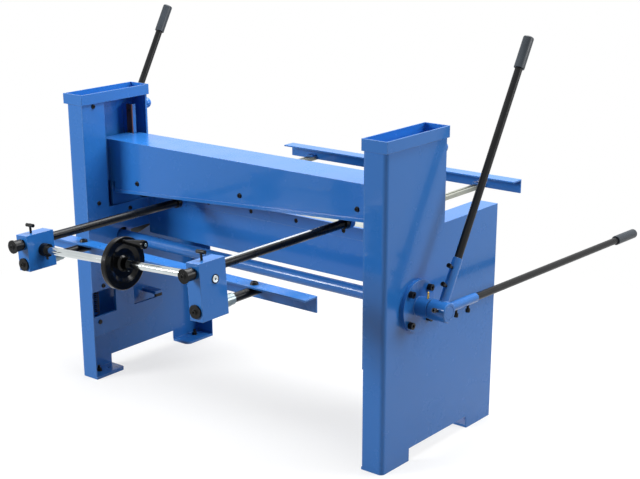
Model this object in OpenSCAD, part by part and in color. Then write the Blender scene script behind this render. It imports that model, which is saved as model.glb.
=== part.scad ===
// Manual guillotine shear on two folded sheet stands: raked blade beam moved by
// a lever shaft through cranks and yokes, rack and pinion back gauge, front stop.
// X runs along the blades, Y from the gauge side to the operator, Z up from the
// floor. The origin is the middle of the four anchor holes. Lengths in mm.

/* [Part to show] */
// Name of one sub-part, or all of them

/* [Stands] */
// Clear width between the two stands
work_w = 1350; // [1200:10:1500]
// Width of one stand along X
stand_w = 90; // [84:1:110]
// Depth of a stand from its gauge side to its operator side
stand_d = 690; // [660:5:740]
// Depth of the tower above the step
tower_d = 345; // [340:1:352]
// Height of the towers under their trays
tower_h = 1126; // [1100:2:1180]
// Height of the steps beside the table
step_h = 830; // [815:1:850]
// Thickness of the folded sheet
sheet_t = 4; // [3:0.5:5]
// Outer radius of the fold at the gauge side
fold_r = 16; // [10:1:20]
// Thickness of the foot plates
foot_t = 10; // [6:1:14]
// Spacing of the floor anchor holes along Y
anchor_dy = 475; // [460:2:490]
// Diameter of the floor anchor holes
anchor_hole_d = 12; // [10:1:14]
// Diameter of the levelling screws
stud_d = 12; // [10:1:14]
// Height of the open boxes on top of the towers
tray_h = 40; // [25:1:60]

/* [Lever shaft] */
// Outer diameter of the shaft
shaft_d = 48; // [40:1:52]
// Distance of the shaft behind the middle of the stands
shaft_back = 164; // [158:1:170]
// Height of the shaft above the floor
shaft_z = 574; // [566:1:582]
// Swing of the levers from rest to the end of the cut, in degrees
swing = 20; // [18:0.5:22]
// Diameter of the lever rods
lever_d = 27; // [22:1:30]
// Distance from the shaft to the end of a long lever
long_reach = 1430; // [1300:10:1440]
// Distance from the shaft to the end of an upright lever
upright_reach = 992; // [860:4:1100]
// Diameter of the grips
grip_d = 38; // [34:1:44]
// Outer diameter of a bearing flange
flange_d = 184; // [172:2:196]
// Side of the square of flange bolts
flange_bolt_sq = 110; // [104:1:116]
// Diameter of the bore of a bearing flange over the shaft diameter
run_gap = 0.1; // [0.06:0.02:0.2]

/* [Blade beam] */
// Downward stroke of the beam
stroke = 95; // [88:1:100]
// Height of the underside at the low end of the beam
beam_low_z = 762; // [758:1:770]
// Rise of the underside over the clear width
rake_rise = 85; // [70:1:90]
// Height of the top of the beam
beam_top_z = 973; // [965:1:1000]
// Depth of the beam along Y
beam_d = 172; // [160:1:174]
// Thickness of the plates of the beam
beam_t = 8; // [5:1:10]
// Thickness of the bottom plate of the beam
lip_t = 12; // [8:1:16]

/* [Bed] */
// Height of the table
table_z = 753; // [748:1:758]
// Distance of the shear plane behind the middle of the stands
shear_back = 14; // [10:1:18]
// Depth of the table from the shear plane
table_d = 405; // [360:5:440]
// Height of the lower edge of the bed
bed_low_z = 555; // [530:5:600]
// Height of the lower blade
blade_h = 45; // [38:1:60]
// Thickness of the lower blade
blade_t = 12; // [10:1:16]

/* [Back gauge] */
// Diameter of the guide rods
rod_d = 32; // [31:0.5:33]
// Distance of the guide rods from the middle
rod_x = 415; // [380:5:450]
// Depth of the rods under the beam
rod_drop = 38; // [36:0.5:40]
// Distance of the rod ends behind the stands
rod_reach = 580; // [560:5:620]
// Travel of the gauge towards the blades
gauge_travel = 360; // [240:5:370]
// Width of a gauge block along X
block_w = 56; // [52:1:64]
// Length of a gauge block along Y
block_l = 120; // [110:1:128]
// Diameter of the cross shaft
cross_d = 27; // [24:0.5:27.5]
// Module of the racks and pinions
gear_m = 2; // [1.9:0.05:2.1]
// Teeth of a pinion
gear_z = 18; // [18:1:19]
// Diameter of the handwheel
wheel_d = 182; // [160:2:220]
// Height of the angle bars of both stops
stop_h = 56; // [45:1:60]
// Width of the top flange of both stops
stop_w = 61; // [50:1:70]

/* [Front stop] */
// Distance of the front stop from the shear plane
stop_reach = 869; // [780:1:880]
// Length of the arms in front of the table
arm_l = 504; // [500:2:560]
// Width of an arm
arm_w = 30; // [24:1:40]

/* [Hidden] */
$fn = 48;
half_w = work_w / 2;
out_x = half_w + stand_w;
near_y = -stand_d / 2;
far_y = stand_d / 2;
tower_y = near_y + tower_d;
cut = sheet_t / 4;
hair = run_gap * 3;
shaft_y = -shaft_back;
shear_y = -shear_back;
rake = atan(rake_rise / work_w);
blade_gap = hair;
upper_blade_t = 1.2 * blade_t;
beam_front = shear_y - blade_gap - upper_blade_t;
beam_back = beam_front - beam_d;

blue = [0.29, 0.48, 0.73];
black = [0.09, 0.1, 0.12];
dark = [0.16, 0.19, 0.22];
steel = [0.66, 0.68, 0.66];
bright = [0.82, 0.83, 0.85];
grey = [0.65, 0.67, 0.63];
brass = [0.78, 0.66, 0.3];
brown = [0.5, 0.25, 0.2];
zinc = [0.68, 0.74, 0.76];
rubber = [0.05, 0.05, 0.05];

// stands
notch_h = 4.8 * foot_t;
notch_half = 0.268 * stand_d;
near_foot_l = stand_d / 2 - notch_half;
far_foot_l = 0.229 * stand_d;
foot_r = 1.5 * fold_r;
anchor_x = out_x - 0.39 * stand_w;
anchor_y = anchor_dy / 2;
stud_h = 2.8 * stud_d;
stud_y = anchor_y + 3.96 * stud_d;
nut_h = 0.8 * stud_d;
nut_d = 1.75 * stud_d;
washer_h = 0.16 * stud_d;
return_w = 6.75 * sheet_t;
guard_x = half_w + sheet_t;
guard_low_z = shaft_z - 4.194375 * shaft_d;
guard_mid_z = shaft_z + 0.3965625 * shaft_d;
guard_cut_y = near_y + 0.38 * tower_d;
window_y0 = near_y + 0.33 * tower_d;
window_y1 = near_y + 0.972 * tower_d;
window_z0 = table_z - 1.037111 * blade_h;
window_z1 = 0.967 * tower_h;
guard_hole_d = 1.46 * shaft_d;
strip_y = shear_y - 0.75 * sheet_t;
wall_hole_d = 1.25 * shaft_d;
tray_out = 1.6 * sheet_t;
knob_d = stand_w / 2;
knob_x = half_w + stand_w / 2;
knob_z = 0.96 * tower_h;
knob_l = 0.65 * stand_w;
screw_d = 4.6 * sheet_t;
screw_h = 1.4 * sheet_t;

// pull plates, cranks and guides inside the stands
plate_x = guard_x + 1.4 * sheet_t;
plate_t = 2.5 * sheet_t;
tongue_z = window_z0 + stroke + sheet_t;
riser_w = 2.08 * shaft_d;
riser_slot = shaft_d + 2 * sheet_t;
bar_z0 = 0.317 * shaft_z;
bar_z1 = 0.458 * shaft_z;
bar_y0 = near_y + 2 * sheet_t;
bar_y1 = near_y + 1.145 * tower_d;
bar_knee = near_y + 0.803 * tower_d;
bar_tip_z = bar_z1 - 0.4 * (bar_z1 - bar_z0);
crank_r = stroke / (2 * sin(swing / 2));
pin_d = 0.625 * shaft_d;
pin_y = shaft_y + crank_r * (1 + cos(swing / 2)) / 2;
pin_z = shaft_z + stroke / 2;
pin_run = crank_r * (1 - cos(swing / 2)) / 2;
slot_half = pin_run + sheet_t / 2;
yoke_wall = pin_d / 3;
yoke_z0 = pin_z - pin_d / 2 - hair - yoke_wall;
yoke_z1 = pin_z + pin_d / 2 + hair + yoke_wall;
yoke_y1 = pin_y + slot_half + pin_d / 2 + 2 * yoke_wall;
crank_x = plate_x + plate_t + sheet_t;
crank_t = 3.5 * sheet_t;
crank_hub_d = 1.75 * shaft_d;
crank_hub_t = 2.4 * crank_t;
crank_arm_w = 1.25 * pin_d;
shoe_x = plate_x + plate_t + 2 * sheet_t;
shoe_w = stand_w / 3;
shoe_z0 = tongue_z;
shoe_h = beam_top_z - shoe_z0;
strip_t = 1.5 * sheet_t;
guide_t = 4 * sheet_t;
shoe_y0 = beam_back - sheet_t;
shoe_y1 = beam_front - 8 * sheet_t;
guide_z0 = shoe_z0 - stroke - 2 * sheet_t;
guide_z1 = window_z1;
stop_lug_y0 = near_y + 1.03 * tower_d;
buffer_h = 3.25 * sheet_t;

// lever shaft outside the stands
flange_t = 0.0815 * flange_d;
flange_bolt_d = 0.087 * flange_d;
bolt_head_d = 1.5 * flange_bolt_d;
bolt_head_h = flange_bolt_d;
barrel_d = 1.42 * shaft_d;
barrel_l = 1.02 * shaft_d;
hub_x = out_x + flange_t + barrel_l + sheet_t;
hub_l = 1.46 * shaft_d;
hub_d = 1.46 * shaft_d;
end_x = hub_x + hub_l;
lever_x = hub_x + hub_l / 2;
socket_d = 1.26 * lever_d;
upright_angle = 60;
long_angle = -1.5;
upright_socket = 0.19 * upright_reach;
long_socket = 0.148 * long_reach;
upright_grip_l = 3.03 * grip_d;
long_grip_l = 4.2 * grip_d;
grip_wrap = 0.6;
pinch_d = 0.235 * hub_d;
pinch_h = 0.17 * hub_d;
pinch_out = 0.37 * hub_d;
pinch_hole_d = 0.55 * pinch_d;
hub_screw_angle = 71;
hub_screw_x = lever_x + hub_l / 8;
hub_edge = 0.04 * hub_d;
shaft_edge = 0.04 * shaft_d;
nipple_x = out_x + flange_t + 0.72 * barrel_l;
pinch_shares = [0.45, 0.8];
nipple_d = 0.17 * shaft_d;

// return springs
coil_r = 0.1055 * stand_w;
wire_d = 0.0445 * stand_w;
curls = 26;
curl_rings = 8;
wire_sides = 6;
eye_rings = 12;
blend_rings = 8;
eye_r = 0.9 * coil_r;
spring_x = plate_x + plate_t + 1.3 * wire_d;
spring_y = near_y + 0.116 * tower_d;
spring_z0 = bar_z1 - 0.3 * (bar_z1 - bar_z0);
spring_z1 = 0.906 * shaft_z;
post_d = 2 * eye_r - wire_d - 2 * hair;
bolt_d = 1.5 * post_d;

// beam
beam_half = half_w - 2 * sheet_t;
lip_out = sheet_t;
lug_w = 1.9 * rod_d;
lug_t = 0.8 * rod_d;
lug_r = 0.72 * rod_d;
lug_y1 = beam_front - 1.45 * rod_d;
lug_ring_d = 1.35 * rod_d;
lug_ring_l = 0.6 * rod_d;
lug_y0 = lug_y1 - lug_t;
upper_blade_h = 1.35 * blade_h;
blade_half = half_w - 3.5 * sheet_t;
blade_screw_d = 0.22 * blade_h;
blade_head_d = 0.38 * blade_h;
blade_bore_d = 0.4 * blade_h;
blade_bore_h = 0.55 * blade_t;
blade_screw_shares = [-5, -3, -1, 1, 3, 5] / 6;
beam_screw_shares = [-0.8, 0, 0.8];
beam_screw_d = 1.1 * screw_d;

// bed
seat_t = 0.9 * blade_t;
top_t = 0.8 * blade_t;
apron_h = 1.6 * blade_h;
rib_shares = [-0.667, -0.333, 0, 0.333, 0.667];
rib_t = 2 * sheet_t;
rib_low_share = 0.35;

// gauge
rod_y0 = near_y - rod_reach;
end_l = 1.17 * rod_d;
end_wall = 0.14 * rod_d;
end_cap_t = 0.156 * rod_d;
end_flange_d = 1.49 * rod_d;
block_y0 = rod_y0 + end_l + 1.2 * end_cap_t;
block_y1 = block_y0 + block_l;
low_rod_z = 0.8878 * table_z;
top_rise = rod_d;
right_low_drop = 1.02 * rod_d;
left_low_drop = 0.76 * rod_d;
pitch_r = gear_m * gear_z / 2;
pitch = PI * gear_m;
rack_off = 0.381 * rod_d;
gear_drop = rack_off + pitch_r;
backlash = 0.15 * gear_m;
press = 20;
rack_tip = 0.8 * gear_m;
rack_root = 1.15 * gear_m;
pinion_tip = 0.95 * gear_m;
pinion_root = 1.1 * gear_m;
pinion_w = 0.56 * rod_d;
cross_y = block_y0 + 0.575 * block_l;
rack_before = 4;
rack_after = ceil(gauge_travel / pitch) + 4;
scale_w = 0.375 * rod_d;
scale_t = 0.03 * rod_d;
scale_y1 = near_y + 0.08 * rod_reach;
cap_d = 1.44 * rod_d;
cap_t = 0.19 * rod_d;
nut_ring_d = 1.36 * rod_d;
nut_ring_l = 1.5 * rod_d;
stop_t = 0.107 * stop_h;
back_bar_y1 = near_y - 0.393 * rod_reach;
back_bar_y0 = back_bar_y1 - stop_w;
back_bar_half = half_w - 2.5 * sheet_t;
stop_bolt_d = 0.31 * rod_d;
stop_bolt_head = 0.94 * rod_d;
stop_bolt_h = 0.28 * rod_d;
wheel_x = 0.0156 * work_w;
wheel_r = wheel_d / 2;
rim_t = 0.125 * wheel_d;
rim_edge = 0.018 * wheel_d;
rim_in_share = 0.74;
web_t = 0.045 * wheel_d;
wheel_hub_d = 0.25 * wheel_d;
wheel_hub_l = 0.26 * wheel_d;
handle_r = 0.415 * wheel_d;
handle_l = 0.57 * wheel_d;
handle_d = 0.174 * wheel_d;
handle_pin_d = 0.05 * wheel_d;
collar_d = 1.72 * cross_d;
collar_l = cross_d;
ring_t = 0.09 * cross_d;
ring_d = 1.12 * cross_d;
end_edge = 0.07 * cross_d;
centre_d = 0.27 * cross_d;
centre_l = 0.4 * cross_d;
collar_screw_d = 0.4 * cross_d;
clamp_d = 0.266 * rod_d;
clamp_rise = 1.08 * rod_d;
clamp_bar_d = 0.4 * rod_d;
clamp_bar_l = 1.12 * rod_d;
clamp_y = block_y0 + 0.36 * block_l;

// front stop
front_y1 = shear_y + stop_reach;
front_y0 = front_y1 - stop_w;
front_z0 = table_z - 0.215 * stop_h;
front_x0 = -0.4637 * work_w;
front_x1 = 0.4178 * work_w;
arm_xs = [-0.3719 * work_w, 0.2763 * work_w];
arm_t = 0.55 * arm_w;
arm_y0 = shear_y + table_d;
arm_y1 = arm_y0 + arm_l;
groove_w = arm_w / 3;
groove_h = 0.5 * arm_t;
clamp_block_w = 1.1 * arm_w;
clamp_block_l = 0.9 * arm_w;
clamp_block_h = 0.3 * arm_w;

// Height of the underside of the beam at a place along X
function under_z(x) = beam_low_z + (x + half_w) * rake_rise / work_w;
// Height of the guide rods' line at a place along X
function rod_z(x) = under_z(x) - rod_drop;

// Box between two corners
module slab(x0, x1, y0, y1, z0, z1) {
    translate([x0, y0, z0]) cube([x1 - x0, y1 - y0, z1 - z0]);
}
// Round bars along the three axes
module bar_x(x0, x1, y, z, d) {
    translate([x0, y, z]) rotate([0, 90, 0]) cylinder(h = x1 - x0, d = d);
}
module bar_y(y0, y1, x, z, d) {
    translate([x, y0, z]) rotate([-90, 0, 0]) cylinder(h = y1 - y0, d = d);
}
module bar_z(z0, z1, x, y, d) {
    translate([x, y, z0]) cylinder(h = z1 - z0, d = d);
}
// Plate with an outline in Y and Z
module yz_plate(x0, x1, outline) {
    translate([x0, 0, 0]) rotate([90, 0, 90]) linear_extrude(x1 - x0) polygon(outline);
}
// Plate with an outline in X and Z
module xz_plate(y0, y1, outline) {
    translate([0, y1, 0]) rotate([90, 0, 0]) linear_extrude(y1 - y0) polygon(outline);
}
// Both sides of the machine
module both() {
    children();
    mirror([1, 0, 0]) children();
}
module left_side() {
    mirror([1, 0, 0]) children();
}
// Frame of the cross shaft: local X along the rake, local Z square to it
module rake_frame(y, z) {
    translate([0, y, rod_z(0)]) rotate([0, -rake, 0]) translate([0, 0, z]) children();
}
function along(x) = x / cos(rake);

// ---- stands

module foot(y0, y1, round_near) {
    cy = round_near ? y0 + foot_r : y1 - foot_r;
    slab(half_w + foot_r, out_x, y0, y1, 0, foot_t);
    slab(half_w, half_w + foot_r + cut, round_near ? cy : y0, round_near ? y1 : cy, 0, foot_t);
    bar_z(0, foot_t, half_w + foot_r, cy, 2 * foot_r);
}
module stand_shell() {
    difference() {
        union() {
            slab(out_x - sheet_t, out_x, near_y + fold_r, far_y, foot_t, step_h);
            slab(out_x - sheet_t, out_x, near_y + fold_r, tower_y, foot_t, tower_h);
            slab(guard_x, out_x - fold_r, near_y, near_y + sheet_t, foot_t, tower_h);
            intersection() {
                slab(out_x - fold_r, out_x, near_y, near_y + fold_r, foot_t, tower_h);
                difference() {
                    bar_z(foot_t, tower_h, out_x - fold_r, near_y + fold_r, 2 * fold_r);
                    bar_z(foot_t - cut, tower_h + cut, out_x - fold_r, near_y + fold_r,
                        2 * (fold_r - sheet_t));
                }
            }
            slab(half_w, out_x, far_y - sheet_t, far_y, foot_t, step_h);
            slab(half_w, out_x, tower_y - sheet_t, tower_y, step_h - sheet_t, tower_h);
            slab(half_w, out_x, tower_y - sheet_t, far_y, step_h - sheet_t, step_h);
            slab(half_w, guard_x, strip_y, far_y, guard_mid_z, step_h);
            slab(half_w, guard_x, window_y1 + hair, tower_y, step_h, tower_h);
            slab(guard_x, guard_x + sheet_t, near_y, near_y + return_w, guard_low_z, tower_h);
            foot(near_y, near_y + near_foot_l, false);
            foot(far_y - far_foot_l, far_y, true);
            guide_bar(shoe_y0 - hair - strip_t - guide_t);
            guide_bar(shoe_y1 + hair + strip_t);
            slab(plate_x, out_x - sheet_t, stop_lug_y0, bar_y1, bar_z1 + buffer_h + hair,
                bar_z1 + buffer_h + hair + 3 * sheet_t);
        }
        slab(half_w - cut, out_x + cut, -notch_half, notch_half, -cut, notch_h);
        difference() {
            slab(out_x - fold_r, out_x + cut, near_y - cut, near_y + fold_r, -cut, foot_t);
            bar_z(-2 * cut, foot_t + cut, out_x - fold_r, near_y + fold_r, 2 * fold_r);
        }
        bar_x(out_x - sheet_t - cut, out_x + cut, shaft_y, shaft_z, wall_hole_d);
        for (y = [-anchor_y, anchor_y]) bar_z(-cut, foot_t + cut, anchor_x, y, anchor_hole_d);
        for (y = [-stud_y, stud_y]) bar_z(-cut, foot_t + cut, anchor_x, y, stud_d);
        for (sx = [-1, 1], sy = [-1, 1])
            bar_x(out_x - sheet_t - cut, out_x + cut, shaft_y + sx * flange_bolt_sq / 2,
                shaft_z + sy * flange_bolt_sq / 2, flange_bolt_d);
    }
}
module guide_bar(y0) {
    slab(shoe_x, out_x - sheet_t, y0, y0 + guide_t, guide_z0, guide_z1);
}
module stand_right() {
    color(blue) stand_shell();
}
module stand_left() {
    color(blue) left_side() stand_shell();
}

module tray() {
    x0 = half_w - tray_out;
    x1 = out_x + tray_out;
    y0 = near_y - tray_out;
    y1 = tower_y + tray_out;
    difference() {
        slab(x0, x1, y0, y1, tower_h, tower_h + tray_h);
        slab(x0 + sheet_t, x1 - sheet_t, y0 + sheet_t, y1 - sheet_t, tower_h + sheet_t,
            tower_h + tray_h + cut);
    }
}
module trays() {
    color(blue) both() tray();
}

module guard() {
    difference() {
        yz_plate(half_w, guard_x, [
            [near_y, guard_low_z], [guard_cut_y, guard_low_z],
            [guard_cut_y, shaft_z - guard_hole_d / 4], [shaft_y, shaft_z - guard_hole_d / 4],
            [shaft_y, guard_mid_z], [strip_y - hair, guard_mid_z],
            [strip_y - hair, window_z0], [window_y0, window_z0], [window_y0, tower_h],
            [near_y, tower_h]]);
        bar_x(half_w - cut, guard_x + cut, shaft_y, shaft_z, guard_hole_d);
    }
}
module guard_right() {
    color(blue) guard();
}
module guard_left() {
    color(blue) left_side() guard();
}

module levelling_screws() {
    color(black) both() for (y = [-stud_y, stud_y]) {
        bar_z(sheet_t / 2, stud_h, anchor_x, y, stud_d);
        bar_z(foot_t, foot_t + washer_h, anchor_x, y, 1.15 * nut_d);
        translate([anchor_x, y, foot_t + washer_h]) cylinder(h = nut_h, d = nut_d, $fn = 6);
    }
}

module dome_knobs() {
    stem_share = 0.45;
    color(blue) both() translate([knob_x, tower_y, knob_z]) rotate([-90, 0, 0]) {
        cylinder(h = knob_l - knob_d / 2, d = stem_share * knob_d);
        rotate_extrude() intersection() {
            translate([0, knob_l - knob_d / 2]) circle(d = knob_d);
            translate([0, knob_l - 0.8 * knob_d]) square([knob_d, knob_d]);
        }
    }
}

// Button head with a hexagon socket, standing on the plane z = 0
module button(d, h) {
    socket_share = 0.45;
    difference() {
        cylinder(h = h, d1 = d, d2 = 0.75 * d);
        translate([0, 0, 0.4 * h]) cylinder(h = h, d = socket_share * d, $fn = 6);
    }
}
guard_screws = [[0.165, tower_h - 0.61196 * screw_d], [0.177, table_z - 0.493911 * blade_h],
    [0.655, table_z - 1.619911 * blade_h], [0.174, guard_low_z + 0.94437 * screw_d]];
module frame_screws() {
    color(black) {
        both() for (s = guard_screws)
            translate([half_w, near_y + s[0] * tower_d, s[1]]) rotate([0, -90, 0])
                button(screw_d, screw_h);
        for (s = blade_screw_shares)
            translate([s * half_w, shear_y + blade_t, table_z - 0.45 * blade_h])
                rotate([90, 0, 0]) blade_screw(blade_t, blade_bore_h);
    }
}
// Cap screw whose head sits in a counterbore, starting from the seat at z = 0
module blade_screw(t, bore_h) {
    cylinder(h = t - bore_h, d = blade_screw_d);
    translate([0, 0, t - bore_h]) difference() {
        cylinder(h = 0.75 * bore_h, d = blade_head_d);
        translate([0, 0, 0.3 * bore_h])
            cylinder(h = bore_h, d = 0.55 * blade_head_d, $fn = 6);
    }
}
// Counterbored hole for such a screw
module blade_hole(t, bore_h) {
    translate([0, 0, -cut]) cylinder(h = t + 2 * cut, d = blade_screw_d);
    translate([0, 0, t - bore_h]) cylinder(h = bore_h + cut, d = blade_bore_d);
}

// ---- bed

module bed() {
    y0 = shear_y;
    web_z1 = table_z - blade_h;
    seat_y = shear_y + blade_t;
    y1 = shear_y + table_d;
    color(blue) union() {
        slab(-half_w, half_w, y0, y0 + blade_t, bed_low_z, web_z1);
        slab(-half_w, half_w, seat_y, seat_y + seat_t, bed_low_z, table_z - top_t);
        slab(-half_w, half_w, seat_y, seat_y + 0.3 * table_d, bed_low_z, bed_low_z + sheet_t * 2);
        slab(-half_w, half_w, y1 - top_t, y1, table_z - apron_h, table_z - top_t);
        for (s = rib_shares) yz_plate(s * half_w - rib_t / 2, s * half_w + rib_t / 2, [
            [seat_y + seat_t, bed_low_z + sheet_t * 2],
            [seat_y + rib_low_share * table_d, bed_low_z + sheet_t * 2],
            [y1 - top_t, table_z - apron_h], [y1 - top_t, table_z - top_t],
            [seat_y + seat_t, table_z - top_t]]);
    }
}
module table_plate() {
    color(grey) slab(-half_w, half_w, shear_y + blade_t, shear_y + table_d, table_z - top_t, table_z);
}
module lower_blade() {
    color(steel) difference() {
        slab(-half_w, half_w, shear_y, shear_y + blade_t, table_z - blade_h, table_z);
        for (s = blade_screw_shares)
            translate([s * half_w, shear_y + blade_t, table_z - 0.45 * blade_h])
                rotate([90, 0, 0]) blade_hole(blade_t, blade_bore_h);
    }
}

// ---- bearing flanges

module flange() {
    difference() {
        union() {
            bar_x(out_x, out_x + flange_t, shaft_y, shaft_z, flange_d);
            bar_x(out_x, out_x + flange_t + barrel_l, shaft_y, shaft_z, barrel_d);
        }
        bar_x(out_x - cut, out_x + flange_t + barrel_l + cut, shaft_y, shaft_z, shaft_d + run_gap);
        for (sy = [-1, 1], sz = [-1, 1])
            bar_x(out_x - cut, out_x + flange_t + cut, shaft_y + sy * flange_bolt_sq / 2,
                shaft_z + sz * flange_bolt_sq / 2, flange_bolt_d);
        bar_z(shaft_z, shaft_z + barrel_d, nipple_x, shaft_y, nipple_d);
    }
}
module flange_right() {
    color(blue) flange();
}
module flange_left() {
    color(blue) left_side() flange();
}
module flange_bolts() {
    color(black) both() for (sy = [-1, 1], sz = [-1, 1])
        translate([0, shaft_y + sy * flange_bolt_sq / 2, shaft_z + sz * flange_bolt_sq / 2]) {
            bar_x(out_x - 2 * sheet_t, out_x + flange_t, 0, 0, flange_bolt_d);
            difference() {
                bar_x(out_x + flange_t, out_x + flange_t + bolt_head_h, 0, 0, bolt_head_d);
                translate([out_x + flange_t + bolt_head_h / 2, 0, 0]) rotate([0, 90, 0])
                    cylinder(h = bolt_head_h, d = bolt_head_d / 2, $fn = 6);
            }
        }
}
module grease_nipples() {
    z0 = shaft_z + shaft_d / 2 + 3 * run_gap;
    z1 = shaft_z + barrel_d / 2 + 3 * nipple_d;
    neck_z = z1 - 1.3 * nipple_d;
    color(brass) both() translate([nipple_x, shaft_y, 0]) {
        bar_z(z0, neck_z, 0, 0, nipple_d);
        bar_z(neck_z, z1 - nipple_d / 2, 0, 0, 0.6 * nipple_d);
        translate([0, 0, z1 - nipple_d / 2]) sphere(d = nipple_d);
    }
}

// ---- guides

module guide_strips() {
    color(brown) both() {
        slab(shoe_x + 2 * sheet_t, shoe_x + shoe_w, shoe_y0 - hair - strip_t, shoe_y0 - hair,
            guide_z0, guide_z1);
        slab(shoe_x, shoe_x + shoe_w, shoe_y1 + hair, shoe_y1 + hair + strip_t, guide_z0, guide_z1);
    }
}
module guide_shoes() {
    color(blue) both() {
        slab(shoe_x, shoe_x + shoe_w, shoe_y0, shoe_y1, shoe_z0, shoe_z0 + shoe_h);
        slab(plate_x + plate_t, shoe_x, beam_back, shoe_y1 - guide_t, shoe_z0,
            shoe_z0 + shoe_h);
    }
}
module spring_posts() {
    color(black) both() {
        bar_x(spring_x - 1.2 * wire_d, out_x - sheet_t, spring_y, spring_z1, post_d);
        bar_x(spring_x - 1.2 * wire_d, spring_x - 0.8 * wire_d, spring_y, spring_z1, bolt_d);
        bar_x(spring_x + 0.8 * wire_d, spring_x + 1.2 * wire_d, spring_y, spring_z1, bolt_d);
    }
}

// ---- front stop

module arm(x) {
    difference() {
        slab(x - arm_w / 2, x + arm_w / 2, arm_y0, arm_y1, table_z - arm_t, table_z);
        slab(x - groove_w / 2, x + groove_w / 2, arm_y0 + groove_w, arm_y1 - groove_w,
            table_z - groove_h, table_z + cut);
    }
}
module stop_arms() {
    color(grey) for (x = arm_xs) arm(x);
}
module front_stop_bar() {
    top = front_z0 + stop_h;
    color(blue) difference() {
        union() {
            slab(front_x0, front_x1, front_y0, front_y1, top - stop_t, top);
            slab(front_x0, front_x1, front_y1 - stop_t, front_y1, front_z0, top);
        }
        for (x = arm_xs)
            slab(x - arm_w / 2 - 3 * hair, x + arm_w / 2 + 3 * hair, front_y1 - stop_t - cut,
                front_y1 + cut, front_z0 - cut, table_z + hair);
    }
}
module front_clamps() {
    y1 = front_y1 - stop_t;
    color(blue) for (x = arm_xs) {
        slab(x - clamp_block_w / 2, x + clamp_block_w / 2, y1 - clamp_block_l, y1,
            table_z + hair, table_z + hair + clamp_block_h);
        bar_z(table_z - 0.8 * groove_h, table_z + 2 * hair, x, y1 - clamp_block_l / 2,
            0.8 * groove_w);
    }
}

// ---- blade beam

module beam() {
    low = under_z(-beam_half);
    high = under_z(beam_half);
    color(blue) difference() {
        union() {
            xz_plate(beam_back, beam_front, [[-beam_half, low], [beam_half, high],
                [beam_half, beam_top_z], [-beam_half, beam_top_z]]);
            xz_plate(beam_back - lip_out, beam_back + cut, [[-beam_half, low], [beam_half, high],
                [beam_half, high + lip_t], [-beam_half, low + lip_t]]);
            for (s = [-1, 1]) slab(s < 0 ? -plate_x : beam_half - cut,
                s < 0 ? -beam_half + cut : plate_x, beam_back, beam_front,
                s < 0 ? tongue_z : max(tongue_z, high + lip_t), beam_top_z);
        }
        xz_plate(beam_back + beam_t, beam_front - beam_t, [
            [-beam_half + beam_t, under_z(-beam_half + beam_t) + lip_t],
            [beam_half - beam_t, under_z(beam_half - beam_t) + lip_t],
            [beam_half - beam_t, beam_top_z - beam_t],
            [-beam_half + beam_t, beam_top_z - beam_t]]);
    }
}
module upper_blade() {
    color(steel) difference() {
        xz_plate(beam_front, shear_y - blade_gap, [
            [-blade_half, under_z(-blade_half)], [blade_half, under_z(blade_half)],
            [blade_half, under_z(blade_half) + upper_blade_h],
            [-blade_half, under_z(-blade_half) + upper_blade_h]]);
        for (s = blade_screw_shares)
            translate([s * half_w, beam_front, under_z(s * half_w) + upper_blade_h / 2])
                rotate([-90, 0, 0]) blade_hole(upper_blade_t, blade_bore_h);
    }
}
module beam_screws() {
    color(black) {
        for (s = blade_screw_shares)
            translate([s * half_w, beam_front, under_z(s * half_w) + upper_blade_h / 2])
                rotate([-90, 0, 0]) blade_screw(upper_blade_t, blade_bore_h);
        for (s = beam_screw_shares)
            translate([s * half_w, beam_back, under_z(s * half_w) + 3.6 * lip_t])
                rotate([90, 0, 0]) button(beam_screw_d, screw_h);
    }
}

// Plate hanging from one end of the beam: head, riser with the slot that
// clears the shaft, spring bar and the yoke arm for the crank pin
module pull_plate() {
    riser0 = shaft_y + shaft_d / 24 - riser_w / 2;
    riser1 = riser0 + riser_w;
    slot_z0 = shaft_z - riser_slot / 2;
    slot_z1 = shaft_z + stroke + riser_slot / 2;
    difference() {
        union() {
            slab(plate_x, plate_x + plate_t, beam_back, beam_front, tongue_z, beam_top_z);
            slab(plate_x, plate_x + plate_t, riser0, riser1, bar_z0, window_z0 - sheet_t);
            slab(plate_x, plate_x + plate_t, beam_back, riser1, bar_z0, beam_top_z);
            yz_plate(plate_x, plate_x + plate_t, [[bar_y0, bar_z0], [bar_knee, bar_z0],
                [bar_y1, bar_tip_z], [bar_y1, bar_z1], [bar_y0, bar_z1]]);
            yz_plate(plate_x, plate_x + plate_t, [[riser1 - cut, yoke_z0], [yoke_y1, yoke_z0],
                [yoke_y1, yoke_z1], [pin_y - pin_d, yoke_z1],
                [riser1 - cut, yoke_z1 + riser_w]]);
        }
        slab(plate_x - cut, plate_x + plate_t + cut, shaft_y - riser_slot / 2,
            shaft_y + riser_slot / 2, slot_z0 + riser_slot / 2, slot_z1 - riser_slot / 2);
        bar_x(plate_x - cut, plate_x + plate_t + cut, shaft_y, slot_z0 + riser_slot / 2, riser_slot);
        bar_x(plate_x - cut, plate_x + plate_t + cut, shaft_y, slot_z1 - riser_slot / 2, riser_slot);
        slab(plate_x - cut, plate_x + plate_t + cut, pin_y - slot_half, pin_y + slot_half,
            pin_z - pin_d / 2 - hair, pin_z + pin_d / 2 + hair);
        for (s = [-1, 1]) bar_x(plate_x - cut, plate_x + plate_t + cut, pin_y + s * slot_half,
            pin_z, pin_d + 2 * hair);
        bar_x(plate_x - cut, plate_x + plate_t + cut, spring_y, spring_z0, post_d);
    }
}
module pull_plate_right() {
    color(blue) pull_plate();
}
module pull_plate_left() {
    color(blue) left_side() pull_plate();
}
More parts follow.
